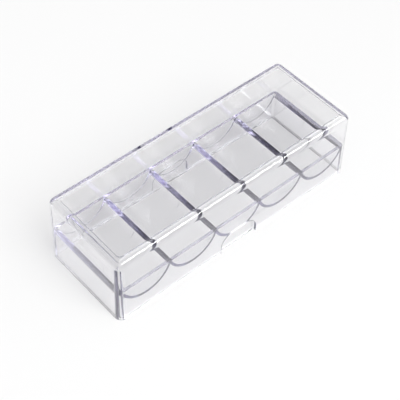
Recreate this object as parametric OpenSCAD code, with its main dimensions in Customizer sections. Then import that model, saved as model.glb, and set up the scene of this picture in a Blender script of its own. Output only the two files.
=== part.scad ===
// Chip rack: an open five-row tray and the deep clear cover that drops over it.
// Both are single mouldings. The origin is on the table, under the middle of the rack.
// X runs along the rack, Y runs along a row of chips and Z is up.

/* [Chips] */
// Diameter of the chips that the rack holds
chip_diameter = 39; // [37:0.5:41]
// Thickness of one chip
chip_thickness = 3.3; // [3:0.1:3.6]
// Number of chips in a full row
chips_per_row = 20; // [15:1:25]
// Number of rows
rows = 5; // [2:1:8]
// Play of a chip across its trough, and of a full row along it
chip_play = 0.4; // [0.2:0.1:1]

/* [Tray] */
// Width of the flat ridge between two rows
ridge_width = 1.5; // [1:0.1:3]
// Width of the flat rim beyond the first and the last row
end_rim_width = 2.6; // [2:0.1:3]
// How far the rim lies below the axis of the chips
rim_drop = 4.2; // [3:0.1:7]
// Height of the lowest line of a trough above the table
trough_floor = 12.5; // [9:0.1:16]
// Thickness of the trough shells
shell = 2; // [1.5:0.1:2.4]
// Thickness of the tray's upright walls
tray_wall = 2; // [1.5:0.1:2.2]
// Radius of the rounding along the outside of the rim
rim_edge_r = 0.5; // [0.3:0.1:0.8]

/* [Cover] */
// Gap between the tray and the cover on each side
fit_gap = 0.5; // [0.4:0.1:0.7]
// Thickness of the cover's side walls
cover_wall = 1.8; // [1.4:0.1:2.4]
// Thickness of the cover's top
cover_top = 2; // [1.5:0.1:2.5]
// Free height between the chips and the cover's top
headroom = 3.7; // [1:0.1:8]
// Radius of the cover's upright corners at its open edge, seen from above
cover_corner_r = 5.6; // [5:0.1:9]
// Radius of the outside rounding along the cover's top edge
cover_edge_r = 3.3; // [2:0.1:5]
// Radius of the cover's upright corners at its open edge, on the inside
cavity_corner_r = 2.2; // [1.5:0.1:4]
// Radius of the rounding between the cover's top and its walls, on the inside
cavity_edge_r = 4.6; // [1:0.1:5]
// Height of the raised panel on the cover's top, measured from the shoulder round it
panel_step = 0.6; // [0.3:0.1:1]
// Width of the shoulder round the raised panel
panel_inset = 5.6; // [5.2:0.1:12]
// Radius of the panel's corners, seen from above
panel_corner_r = 3; // [1:0.5:8]
// How far every wall leans in for each millimetre of height
lean = 0.021; // [0.01:0.001:0.025]

/* [Thumb notches] */
// Width of each thumb notch at the cover's open edge
notch_width = 32; // [24:1:50]
// Height of each thumb notch
notch_height = 15.6; // [10.5:0.1:22]
// Radius of the notch's two upper corners
notch_corner_r = 10; // [4:0.5:10]

/* [Hidden] */
$fn = 96;

over = 1;          // how far a cutting shape reaches past the face that it cuts
edge_steps = 8;    // facets round the quarter turn of a top edge
corner_steps = 8;  // facets round each upright corner
least_corner_r = 0.2;  // smallest radius that an upright corner shrinks to as the walls lean in

trough_r = (chip_diameter + chip_play) / 2;
trough_length = chips_per_row * chip_thickness + chip_play;
trough_axis = trough_floor + trough_r;
row_pitch = 2 * sqrt(trough_r * trough_r - rim_drop * rim_drop) + ridge_width;

tray_height = trough_axis - rim_drop;
tray_spread = 2 * lean * tray_height;  // foot of the tray less its rim, both sides together
tray_length = rows * row_pitch - ridge_width + 2 * end_rim_width + tray_spread;
tray_width = trough_length + 2 * tray_wall + tray_spread;
tray_corner_r = cover_corner_r - cover_wall - fit_gap;

cover_length = tray_length + 2 * (cover_wall + fit_gap);
cover_width = tray_width + 2 * (cover_wall + fit_gap);
cover_height = trough_floor + chip_diameter + headroom + cover_top;
cover_shoulder = cover_height - panel_step;
panel_edge_r = 0.15;  // rounding along the panel's edge
panel_length = cover_length - 2 * (lean * cover_shoulder + panel_inset);
panel_width = cover_width - 2 * (lean * cover_shoulder + panel_inset);

// Outline of a rectangle with round corners, at height z, as a ring of points.
function ring(length, width, corner_r, z) = [
    for (corner = [0 : 3], i = [0 : corner_steps])
        let (
            a = 90 * (corner + i / corner_steps),
            x = (corner == 0 || corner == 3 ? 1 : -1) * (length / 2 - corner_r),
            y = (corner < 2 ? 1 : -1) * (width / 2 - corner_r)
        )
            [x + corner_r * cos(a), y + corner_r * sin(a), z]
];

// A block with leaning sides, round upright corners and a rounded top edge.
// length, width and corner_r are those at z = 0, and the block reaches below it by below.
module leaning_block(length, width, height, corner_r, edge_r, below = 0) {
    tilt = atan(lean);
    centre_z = height - edge_r;
    centre_inset = (edge_r + centre_z * sin(tilt)) / cos(tilt);
    // how far in and how high each ring lies: the foot, then round the top edge
    levels = [
        [-lean * below, -below],
        for (i = [0 : edge_steps])
            let (a = tilt + (90 - tilt) * i / edge_steps)
                [centre_inset - edge_r * cos(a), centre_z + edge_r * sin(a)]
    ];
    points = [
        for (level = levels)
            let (inset = level[0])
                each ring(
                    length - 2 * inset,
                    width - 2 * inset,
                    max(corner_r - inset, least_corner_r),
                    level[1]
                )
    ];
    count = 4 * (corner_steps + 1);
    last = len(points) - count;
    polyhedron(
        points,
        [
            [for (i = [0 : count - 1]) i],
            [for (i = [count - 1 : -1 : 0]) last + i],
            for (base = [0 : count : last - count], i = [0 : count - 1])
                let (j = (i + 1) % count)
                    [base + j, base + i, base + i + count, base + j + count]
        ]
    );
}

// One cylinder along Y for each row of chips.
module row_cylinders(radius, length) {
    for (i = [0 : rows - 1])
        translate([(i - (rows - 1) / 2) * row_pitch, length / 2, trough_axis])
            rotate([90, 0, 0]) cylinder(r = radius, h = length);
}

// The space under the troughs, open to the table.
module tray_hollow() difference() {
    leaning_block(
        tray_length - 2 * tray_wall,
        tray_width - 2 * tray_wall,
        tray_height - shell,
        tray_corner_r - tray_wall,
        rim_edge_r,
        over
    );
    row_cylinders(trough_r + shell, tray_width + over);
}

// Side view of a thumb notch, open at the bottom.
module notch_outline() {
    reach = notch_width / 2 - notch_corner_r;
    translate([-notch_width / 2, -over])
        square([notch_width, notch_height - notch_corner_r + over]);
    translate([-reach, 0]) square([2 * reach, notch_height]);
    for (x = [-reach, reach])
        translate([x, notch_height - notch_corner_r]) circle(r = notch_corner_r);
}

module chip_tray() color([0.86, 0.85, 0.95, 0.55]) difference() {
    leaning_block(tray_length, tray_width, tray_height, tray_corner_r, rim_edge_r);
    row_cylinders(trough_r, trough_length);
    tray_hollow();
}

// The cover's outer shape: a block with a low panel on its top.
module cover_body() {
    leaning_block(cover_length, cover_width, cover_shoulder, cover_corner_r, cover_edge_r);
    translate([0, 0, cover_shoulder])
        leaning_block(panel_length, panel_width, panel_step, panel_corner_r, panel_edge_r, over);
}

module cover() color([0.92, 0.93, 0.96, 0.35]) difference() {
    cover_body();
    leaning_block(
        cover_length - 2 * cover_wall,
        cover_width - 2 * cover_wall,
        cover_height - cover_top,
        cavity_corner_r,
        cavity_edge_r,
        over
    );
    rotate([90, 0, 0])
        translate([0, 0, -cover_width / 2 - over])
            linear_extrude(cover_width + 2 * over) notch_outline();
}

chip_tray();
cover();
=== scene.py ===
import math

import bmesh
import bpy
from mathutils import Matrix, Vector


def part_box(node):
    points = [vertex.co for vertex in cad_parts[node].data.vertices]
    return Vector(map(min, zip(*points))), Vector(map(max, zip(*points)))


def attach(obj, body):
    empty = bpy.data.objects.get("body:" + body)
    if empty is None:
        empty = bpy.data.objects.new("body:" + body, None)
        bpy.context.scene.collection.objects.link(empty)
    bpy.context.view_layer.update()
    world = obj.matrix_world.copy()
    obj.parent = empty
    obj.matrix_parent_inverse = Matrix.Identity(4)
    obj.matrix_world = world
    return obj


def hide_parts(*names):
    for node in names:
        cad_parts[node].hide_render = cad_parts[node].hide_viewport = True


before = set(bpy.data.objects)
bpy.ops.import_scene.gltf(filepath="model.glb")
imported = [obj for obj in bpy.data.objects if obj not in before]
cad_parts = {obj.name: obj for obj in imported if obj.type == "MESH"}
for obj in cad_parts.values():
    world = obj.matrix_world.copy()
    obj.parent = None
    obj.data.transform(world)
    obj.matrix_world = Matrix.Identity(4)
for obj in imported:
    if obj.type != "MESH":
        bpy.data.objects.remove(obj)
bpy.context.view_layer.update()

# ---------------------------------------------------------------- sizes, in metres
MM = 0.001
LEAN = 0.021             # how far a wall leans in for each metre of height
TROUGH_R = 19.7 * MM
TROUGH_LENGTH = 66.4 * MM
RIM_DROP = 4.2 * MM      # the rim lies this far under the axis of the chips
RIDGE_WIDTH = 1.5 * MM
ROWS = 5
SHELL = 2.0 * MM
TRAY_WALL = 2.0 * MM
FIT_GAP = 0.5 * MM
COVER_WALL = 1.8 * MM
COVER_TOP = 2.0 * MM
COVER_CORNER_R = 5.6 * MM
COVER_EDGE_R = 3.3 * MM
CAVITY_EDGE_R = 4.6 * MM
CAVITY_CORNER_R = 2.2 * MM
PANEL_INSET = 5.6 * MM   # from the top's outline to the raised panel on it
PANEL_STEP = 0.6 * MM
PANEL_CORNER_R = 3.0 * MM
PANEL_EDGE_R = 0.15 * MM
LEAST_CORNER_R = 0.2 * MM  # an upright corner shrinks to this as the walls lean in
RIM_EDGE_R = 0.5 * MM
NOTCH_WIDTH = 32.0 * MM
NOTCH_HEIGHT = 15.6 * MM
NOTCH_CORNER_R = 10.0 * MM
TRAY_ROUNDING = 0.45 * MM  # an upper limit: the shortest edges hold it far below this
COVER_ROUNDING = 0.3 * MM
MARK_WIDTH = 0.7 * MM    # a centre mark along its trough
MARK_HEIGHT = 0.3 * MM   # how far it stands proud of the trough
MARK_ROOT = 0.8 * MM     # how deep it starts inside the shell
MARK_ROUNDING = 0.15 * MM
MARK_START, MARK_END = -37, -26  # where it lies round the trough, in degrees
OVER = 1.0 * MM          # how far a cutting shape reaches past the face that it cuts
FAR = 10 * MM            # added to a cutter that has to pass right through the tray
ROUNDED_ABOVE = 32       # edges sharper than this, in degrees, are rounded
SHARP_ABOVE = 50         # edges sharper than this, in degrees, are shaded sharp

# points round each curve
BLOCK_STEPS = 16
ROW_STEPS = 128
NOTCH_STEPS = 24
MARK_STEPS = 6

tray_low, tray_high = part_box("chip_tray")
cover_low, cover_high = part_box("cover")
tray_size = tray_high - tray_low
cover_size = cover_high - cover_low
tray_corner_r = COVER_CORNER_R - COVER_WALL - FIT_GAP
trough_axis = tray_high.z + RIM_DROP
row_pitch = 2 * math.sqrt(TROUGH_R ** 2 - RIM_DROP ** 2) + RIDGE_WIDTH


# ---------------------------------------------------------------- mesh helpers
def new_object(name, bm):
    """A mesh object made from bm, in the row frame."""
    mesh = bpy.data.meshes.new(name)
    bm.normal_update()
    bm.to_mesh(mesh)
    bm.free()
    obj = bpy.data.objects.new(name, mesh)
    bpy.context.scene.collection.objects.link(obj)
    return obj


def ring(length, width, corner_r, z):
    """Outline of a rectangle with round corners, as points at height z."""
    points = []
    for corner in range(4):
        x = (1 if corner in (0, 3) else -1) * (length / 2 - corner_r)
        y = (1 if corner < 2 else -1) * (width / 2 - corner_r)
        for i in range(BLOCK_STEPS + 1):
            a = math.radians(90 * (corner + i / BLOCK_STEPS))
            points.append((x + corner_r * math.cos(a), y + corner_r * math.sin(a), z))
    return points


def leaning_block(name, length, width, height, corner_r, edge_r, below=0.0):
    """A block with leaning sides, round upright corners and a rounded top edge."""
    tilt = math.atan(LEAN)
    centre_z = height - edge_r
    centre_inset = (edge_r + centre_z * math.sin(tilt)) / math.cos(tilt)
    levels = [(-LEAN * below, -below)]
    for i in range(BLOCK_STEPS + 1):
        a = tilt + (math.pi / 2 - tilt) * i / BLOCK_STEPS
        levels.append((centre_inset - edge_r * math.cos(a), centre_z + edge_r * math.sin(a)))
    bm = bmesh.new()
    rings = []
    for inset, z in levels:
        points = ring(length - 2 * inset, width - 2 * inset,
                      max(corner_r - inset, LEAST_CORNER_R), z)
        rings.append([bm.verts.new(p) for p in points])
    for low, high in zip(rings, rings[1:]):
        for i in range(len(low)):
            j = (i + 1) % len(low)
            bm.faces.new((low[i], low[j], high[j], high[i]))
    bm.faces.new(list(reversed(rings[0])))
    bm.faces.new(rings[-1])
    return new_object(name, bm)


def prism(name, outline, depth):
    """A closed outline of (x, z) points, drawn along Y and centred there."""
    bm = bmesh.new()
    front = [bm.verts.new((x, -depth / 2, z)) for x, z in outline]
    rear = [bm.verts.new((x, depth / 2, z)) for x, z in outline]
    bm.faces.new(front)
    bm.faces.new(list(reversed(rear)))
    for i in range(len(outline)):
        j = (i + 1) % len(outline)
        bm.faces.new((front[j], front[i], rear[i], rear[j]))
    bmesh.ops.recalc_face_normals(bm, faces=bm.faces)
    return new_object(name, bm)


def circle_points(x, z, radius, start, end, steps):
    """Points on an arc from start to end, in degrees."""
    points = []
    for i in range(steps + 1):
        a = math.radians(start + (end - start) * i / steps)
        points.append((x + radius * math.cos(a), z + radius * math.sin(a)))
    return points


def apply_modifiers(obj):
    """Makes the modifiers' result the object's own mesh."""
    graph = bpy.context.evaluated_depsgraph_get()
    mesh = bpy.data.meshes.new_from_object(obj.evaluated_get(graph))
    obj.modifiers.clear()
    obj.data = mesh


def cut(obj, cutters, operation="DIFFERENCE"):
    """Takes the cutters from obj, or joins them to it, and deletes them."""
    for cutter in cutters:
        modifier = obj.modifiers.new("cut", "BOOLEAN")
        modifier.operation = operation
        modifier.solver = "EXACT"
        modifier.object = cutter
    apply_modifiers(obj)
    for cutter in cutters:
        bpy.data.objects.remove(cutter)


def round_edges(obj, width, segments):
    """Rounds the sharp edges by width, or by less where the roundings would meet."""
    modifier = obj.modifiers.new("round", "BEVEL")
    modifier.width = width
    modifier.segments = segments
    modifier.limit_method = "ANGLE"
    modifier.angle_limit = math.radians(ROUNDED_ABOVE)
    modifier.use_clamp_overlap = True
    modifier.miter_outer = "MITER_ARC"
    apply_modifiers(obj)
    obj.data.shade_smooth()


def even_shading(obj):
    """Shades obj smooth, with the wide faces kept flat and the sharpest edges kept sharp."""
    obj.data.shade_smooth()
    obj.data.set_sharp_from_angle(angle=math.radians(SHARP_ABOVE))
    modifier = obj.modifiers.new("even", "WEIGHTED_NORMAL")
    modifier.keep_sharp = True
    modifier.weight = 100
    apply_modifiers(obj)


# ---------------------------------------------------------------- the two mouldings
def row_centres():
    """The X of each row's axis."""
    return [(row - (ROWS - 1) / 2) * row_pitch for row in range(ROWS)]


def row_cylinders(radius, length):
    """One cylinder along Y for each row."""
    cylinders = []
    last = 360 - 360 / ROW_STEPS
    for row, x in enumerate(row_centres()):
        outline = circle_points(x, trough_axis, radius, 0, last, ROW_STEPS - 1)
        cylinders.append(prism(f"row_cut_{row}", outline, length))
    return cylinders


def centre_marks():
    """A short raised rib half way along each trough, on its flank towards +X."""
    marks = []
    for row, x in enumerate(row_centres()):
        outline = circle_points(x, trough_axis, TROUGH_R + MARK_ROOT,
                                MARK_START, MARK_END, MARK_STEPS)
        outline += reversed(circle_points(x, trough_axis, TROUGH_R - MARK_HEIGHT,
                                          MARK_START, MARK_END, MARK_STEPS))
        mark = prism(f"centre_mark_{row}", outline, MARK_WIDTH)
        round_edges(mark, MARK_ROUNDING, 2)
        marks.append(mark)
    return marks


def make_tray():
    tray = leaning_block("tray_moulding", tray_size.x, tray_size.y, tray_size.z,
                         tray_corner_r, RIM_EDGE_R)
    hollow = leaning_block("tray_hollow", tray_size.x - 2 * TRAY_WALL,
                           tray_size.y - 2 * TRAY_WALL, tray_size.z - SHELL,
                           tray_corner_r - TRAY_WALL, RIM_EDGE_R, OVER)
    cut(hollow, row_cylinders(TROUGH_R + SHELL, tray_size.y + FAR))
    cut(tray, row_cylinders(TROUGH_R, TROUGH_LENGTH) + [hollow])
    round_edges(tray, TRAY_ROUNDING, 4)
    for mark in centre_marks():
        cut(tray, [mark], "UNION")
    even_shading(tray)
    return tray


def make_cover():
    shoulder = cover_size.z - PANEL_STEP
    cover = leaning_block("cover_moulding", cover_size.x, cover_size.y, shoulder,
                          COVER_CORNER_R, COVER_EDGE_R)
    inset = LEAN * shoulder + PANEL_INSET
    panel = leaning_block("cover_panel", cover_size.x - 2 * inset, cover_size.y - 2 * inset,
                          PANEL_STEP, PANEL_CORNER_R, PANEL_EDGE_R, OVER)
    panel.data.transform(Matrix.Translation((0, 0, shoulder)))
    cavity = leaning_block("cover_cavity", cover_size.x - 2 * COVER_WALL,
                           cover_size.y - 2 * COVER_WALL, cover_size.z - COVER_TOP,
                           CAVITY_CORNER_R, CAVITY_EDGE_R, OVER)
    reach = NOTCH_WIDTH / 2 - NOTCH_CORNER_R
    height = NOTCH_HEIGHT - NOTCH_CORNER_R
    outline = [(-NOTCH_WIDTH / 2, -OVER), (NOTCH_WIDTH / 2, -OVER)]
    outline += circle_points(reach, height, NOTCH_CORNER_R, 0, 90, NOTCH_STEPS)
    outline += circle_points(-reach, height, NOTCH_CORNER_R, 90, 180, NOTCH_STEPS)
    notch = prism("cover_notch", outline, cover_size.y + 2 * OVER)
    cut(cover, [cavity, notch])
    round_edges(cover, COVER_ROUNDING, 3)
    cut(cover, [panel], "UNION")
    even_shading(cover)
    return cover


# ---------------------------------------------------------------- materials
PLASTIC_IOR = 1.52
TRAY_TINT, TRAY_DENSITY = (0.20, 0.16, 0.46), 17.0
COVER_TINT, COVER_DENSITY = (0.22, 0.18, 0.45), 9.0
LAMP_SHARE = 0.93        # lamp light that passes straight through one face
SCRATCH_STRETCH = (28, 900, 120)    # noise cells in a metre: few along a scratch, many across
SCRATCH_TILT = (0.3, 0.2)           # turns round X and Y, in radians
SCRATCH_TURNS = ((0.5, 3.0), (-0.9, 11.0))  # a turn round Z and a shift for each layer
SCRATCH_START, SCRATCH_FULL = 0.70, 0.78    # the noise above this is a scratch
SCRATCH_ROUGHNESS = 0.22
WAVE_SCALE, WAVE_STRENGTH, WAVE_DEPTH = 70.0, 0.1, 0.4 * MM


def map_range(nodes, value, from_range, to_range, links):
    """Output of a node that maps value from one range to another, and stops at the ends."""
    node = nodes.new("ShaderNodeMapRange")
    for socket, number in zip(("From Min", "From Max", "To Min", "To Max"),
                              (*from_range, *to_range)):
        node.inputs[socket].default_value = number
    links.new(value, node.inputs["Value"])
    return node.outputs["Result"]


def calculate(nodes, operation, values, links):
    """Output of a maths node on values, each a number or another node's output."""
    node = nodes.new("ShaderNodeMath")
    node.operation = operation
    for socket, value in zip(node.inputs, values):
        if isinstance(value, (int, float)):
            socket.default_value = value
        else:
            links.new(value, socket)
    return node.outputs[0]


def scratch_layer(nodes, place, turn, shift, links):
    """Long thin marks in one direction, as a value from 0 to 1."""
    stretch = nodes.new("ShaderNodeMapping")
    stretch.inputs["Rotation"].default_value = (*SCRATCH_TILT, turn)
    stretch.inputs["Scale"].default_value = SCRATCH_STRETCH
    stretch.inputs["Location"].default_value = (shift, shift, shift)
    grain = nodes.new("ShaderNodeTexNoise")
    grain.inputs["Scale"].default_value = 1.0
    grain.inputs["Detail"].default_value = 1.0
    links.new(place, stretch.inputs["Vector"])
    links.new(stretch.outputs["Vector"], grain.inputs["Vector"])
    return map_range(nodes, grain.outputs[0], (SCRATCH_START, SCRATCH_FULL), (0.0, 1.0), links)


def clear_plastic(name, tint, density):
    """Clear moulded plastic, tinted in its depth, a little wavy and with hairline scratches."""
    material = bpy.data.materials.new(name)
    material.use_nodes = True
    nodes, links = material.node_tree.nodes, material.node_tree.links
    shader = nodes["Principled BSDF"]
    output = nodes["Material Output"]
    shader.inputs["Transmission Weight"].default_value = 1.0
    shader.inputs["IOR"].default_value = PLASTIC_IOR
    shader.inputs["Base Color"].default_value = (1, 1, 1, 1)
    place = nodes.new("ShaderNodeTexCoord").outputs["Object"]
    # scratches turn the polish dull
    layers = [scratch_layer(nodes, place, turn, shift, links) for turn, shift in SCRATCH_TURNS]
    scratches = calculate(nodes, "MAXIMUM", layers, links)
    dull = map_range(nodes, scratches, (0.0, 1.0), (0.0, SCRATCH_ROUGHNESS), links)
    links.new(dull, shader.inputs["Roughness"])
    # the slight unevenness of a moulded sheet
    wave = nodes.new("ShaderNodeTexNoise")
    wave.inputs["Scale"].default_value = WAVE_SCALE
    wave.inputs["Detail"].default_value = 2.0
    uneven = nodes.new("ShaderNodeBump")
    uneven.inputs["Strength"].default_value = WAVE_STRENGTH
    uneven.inputs["Distance"].default_value = WAVE_DEPTH
    links.new(place, wave.inputs["Vector"])
    links.new(wave.outputs[0], uneven.inputs["Height"])
    links.new(uneven.outputs["Normal"], shader.inputs["Normal"])
    # lamp light goes straight through, a little weaker at each face
    path = nodes.new("ShaderNodeLightPath")
    lamp_way = nodes.new("ShaderNodeBsdfTransparent")
    lamp_way.inputs["Color"].default_value = (LAMP_SHARE, LAMP_SHARE, LAMP_SHARE, 1)
    mix = nodes.new("ShaderNodeMixShader")
    links.new(path.outputs["Is Shadow Ray"], mix.inputs[0])
    links.new(shader.outputs[0], mix.inputs[1])
    links.new(lamp_way.outputs[0], mix.inputs[2])
    links.new(mix.outputs[0], output.inputs["Surface"])
    volume = nodes.new("ShaderNodeVolumeAbsorption")
    volume.inputs["Color"].default_value = (*tint, 1)
    volume.inputs["Density"].default_value = density
    links.new(volume.outputs[0], output.inputs["Volume"])
    return material


tray = make_tray()
cover = make_cover()
tray_plastic = clear_plastic("tray_plastic", TRAY_TINT, TRAY_DENSITY)
cover_plastic = clear_plastic("cover_plastic", COVER_TINT, COVER_DENSITY)
for piece, body, node, slot, material in (
        (tray, "tray", "chip_tray", "tray_plastic", tray_plastic),
        (cover, "cover", "cover", "cover_plastic", cover_plastic)):
    piece.data.materials.clear()
    piece.data.materials.append(material)
    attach(piece, body)
    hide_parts(node)

# ---------------------------------------------------------------- floor
FLOOR_SIZE = 1.2
FLOOR_GAP = 0.3 * MM     # the thin gap of air under a part that only rests on the table
FLOOR_COLOUR = (0.86, 0.86, 0.86, 1)

bm = bmesh.new()
bmesh.ops.create_grid(bm, x_segments=1, y_segments=1, size=FLOOR_SIZE)
floor = new_object("floor", bm)
floor.location.z = -FLOOR_GAP
floor_material = bpy.data.materials.new("pale_floor")
floor_material.use_nodes = True
floor_shader = floor_material.node_tree.nodes["Principled BSDF"]
floor_shader.inputs["Base Color"].default_value = FLOOR_COLOUR
floor_shader.inputs["Roughness"].default_value = 1.0
floor_shader.inputs["Specular IOR Level"].default_value = 0.0
floor.data.materials.append(floor_material)

# ---------------------------------------------------------------- world
WHITE = (1, 1, 1, 1)
ROOM_SIDES = (0.3, -0.8)      # the Y of a direction to the room's dark and light sides
ROOM_LEVELS = (0.10, 0.50)    # how bright they are
SOFTBOX_WAY = (0.44, -0.37, 0.82)
# the softbox's strength, and the cosines from its middle at which it starts and is full
MIRRORED_EDGE, MIRRORED_GLOW = (0.974, 0.983), 22.0
PASSED_EDGE, PASSED_GLOW = (0.84, 0.97), 5.0
NONE_YET = 0.5                # a count of bounces below this is zero

world = bpy.data.worlds.new("studio")
bpy.context.scene.world = world
world.use_nodes = True
world_nodes, world_links = world.node_tree.nodes, world.node_tree.links
room = world_nodes["Background"]
room.inputs["Color"].default_value = WHITE
backdrop = world_nodes.new("ShaderNodeBackground")
backdrop.inputs["Color"].default_value = WHITE
backdrop.inputs["Strength"].default_value = 1.0
world_path = world_nodes.new("ShaderNodeLightPath").outputs
direction = world_nodes.new("ShaderNodeTexCoord").outputs["Generated"]
split = world_nodes.new("ShaderNodeSeparateXYZ")
world_links.new(direction, split.inputs[0])
level = map_range(world_nodes, split.outputs["Y"], ROOM_SIDES, ROOM_LEVELS, world_links)
facing = world_nodes.new("ShaderNodeVectorMath")
facing.operation = "DOT_PRODUCT"
facing.inputs[1].default_value = Vector(SOFTBOX_WAY).normalized()
world_links.new(direction, facing.inputs[0])


def glow(edge, strength, ray_kind):
    """Brightness of the softbox as one kind of ray sees it."""
    disc = map_range(world_nodes, facing.outputs["Value"], edge, (0.0, strength), world_links)
    return calculate(world_nodes, "MULTIPLY", (disc, world_path[ray_kind]), world_links)


# the softbox is sharp in mirror reflections, and wide and weaker through the plastic; a ray
# that has left the floor doesn't see it
mirrored = glow(MIRRORED_EDGE, MIRRORED_GLOW, "Is Reflection Ray")
passed = glow(PASSED_EDGE, PASSED_GLOW, "Is Transmission Ray")
softbox = calculate(world_nodes, "ADD", (mirrored, passed), world_links)
undiffused = calculate(world_nodes, "LESS_THAN",
                       (world_path["Diffuse Depth"], NONE_YET), world_links)
strength = calculate(world_nodes, "MULTIPLY_ADD", (softbox, undiffused, level), world_links)
world_links.new(strength, room.inputs["Strength"])
# straight through a sheet the room looks as pale as past its edge
bounces = calculate(world_nodes, "ADD",
                    (world_path["Diffuse Depth"], world_path["Glossy Depth"]), world_links)
straight = calculate(world_nodes, "LESS_THAN", (bounces, NONE_YET), world_links)
clear = calculate(world_nodes, "MULTIPLY_ADD",
                  (straight, world_path["Is Transmission Ray"], world_path["Is Camera Ray"]),
                  world_links)
world_mix = world_nodes.new("ShaderNodeMixShader")
world_links.new(clear, world_mix.inputs[0])
world_links.new(room.outputs[0], world_mix.inputs[1])
world_links.new(backdrop.outputs[0], world_mix.inputs[2])
world_links.new(world_mix.outputs[0], world_nodes["World Output"].inputs["Surface"])


# ---------------------------------------------------------------- lamps and camera
def soft_lamp(name, place, target, size, power):
    """A square lamp that lights the floor but shows neither in the plastic nor through it."""
    data = bpy.data.lights.new(name, "AREA")
    data.shape = "RECTANGLE"
    data.size = data.size_y = size
    data.energy = power
    data.cycles.use_multiple_importance_sampling = False
    light = bpy.data.objects.new(name, data)
    bpy.context.scene.collection.objects.link(light)
    light.location = place
    light.rotation_euler = (Vector(target) - Vector(place)).to_track_quat("-Z", "Y").to_euler()
    light.visible_glossy = False
    light.visible_transmission = False
    return light


soft_lamp("front_soft", (0.3, -1.9, 2.0), (0, 0, 0), 1.6, 46)
table_fill = soft_lamp("table_fill", (-0.15, 0.45, 1.6), (-0.1, 0.2, 0), 2.0, 22)
table_fill.data.use_shadow = False

LENS, DISTANCE = 98.26, 0.7439  # in millimetres and in metres
AZIMUTH, ELEVATION, ROLL = (math.radians(angle) for angle in (-42.809, 49.66, 2.255))
LOOK_AT = Vector((-0.01215, -0.01011, 0.029))
camera_data = bpy.data.cameras.new("camera")
camera_data.lens = LENS
camera_data.clip_start = 0.05
camera_data.clip_end = 20
camera = bpy.data.objects.new("camera", camera_data)
bpy.context.scene.collection.objects.link(camera)
bpy.context.scene.camera = camera
back = Vector((math.sin(AZIMUTH) * math.cos(ELEVATION),
               -math.cos(AZIMUTH) * math.cos(ELEVATION), math.sin(ELEVATION)))
turn = (-back).to_track_quat("-Z", "Y").to_matrix().to_4x4()
roll = Matrix.Rotation(ROLL, 4, "Z")
camera.matrix_world = Matrix.Translation(LOOK_AT + back * DISTANCE) @ turn @ roll

scene = bpy.context.scene
scene.view_settings.view_transform = "Standard"
scene.cycles.caustics_refractive = True
scene.cycles.caustics_reflective = False
# light is reflected many times inside the ridges and walls before it leaves them, and a
# lower limit turns them black
scene.cycles.max_bounces = 160
scene.cycles.transmission_bounces = 160
scene.cycles.glossy_bounces = 120
scene.cycles.transparent_max_bounces = 32
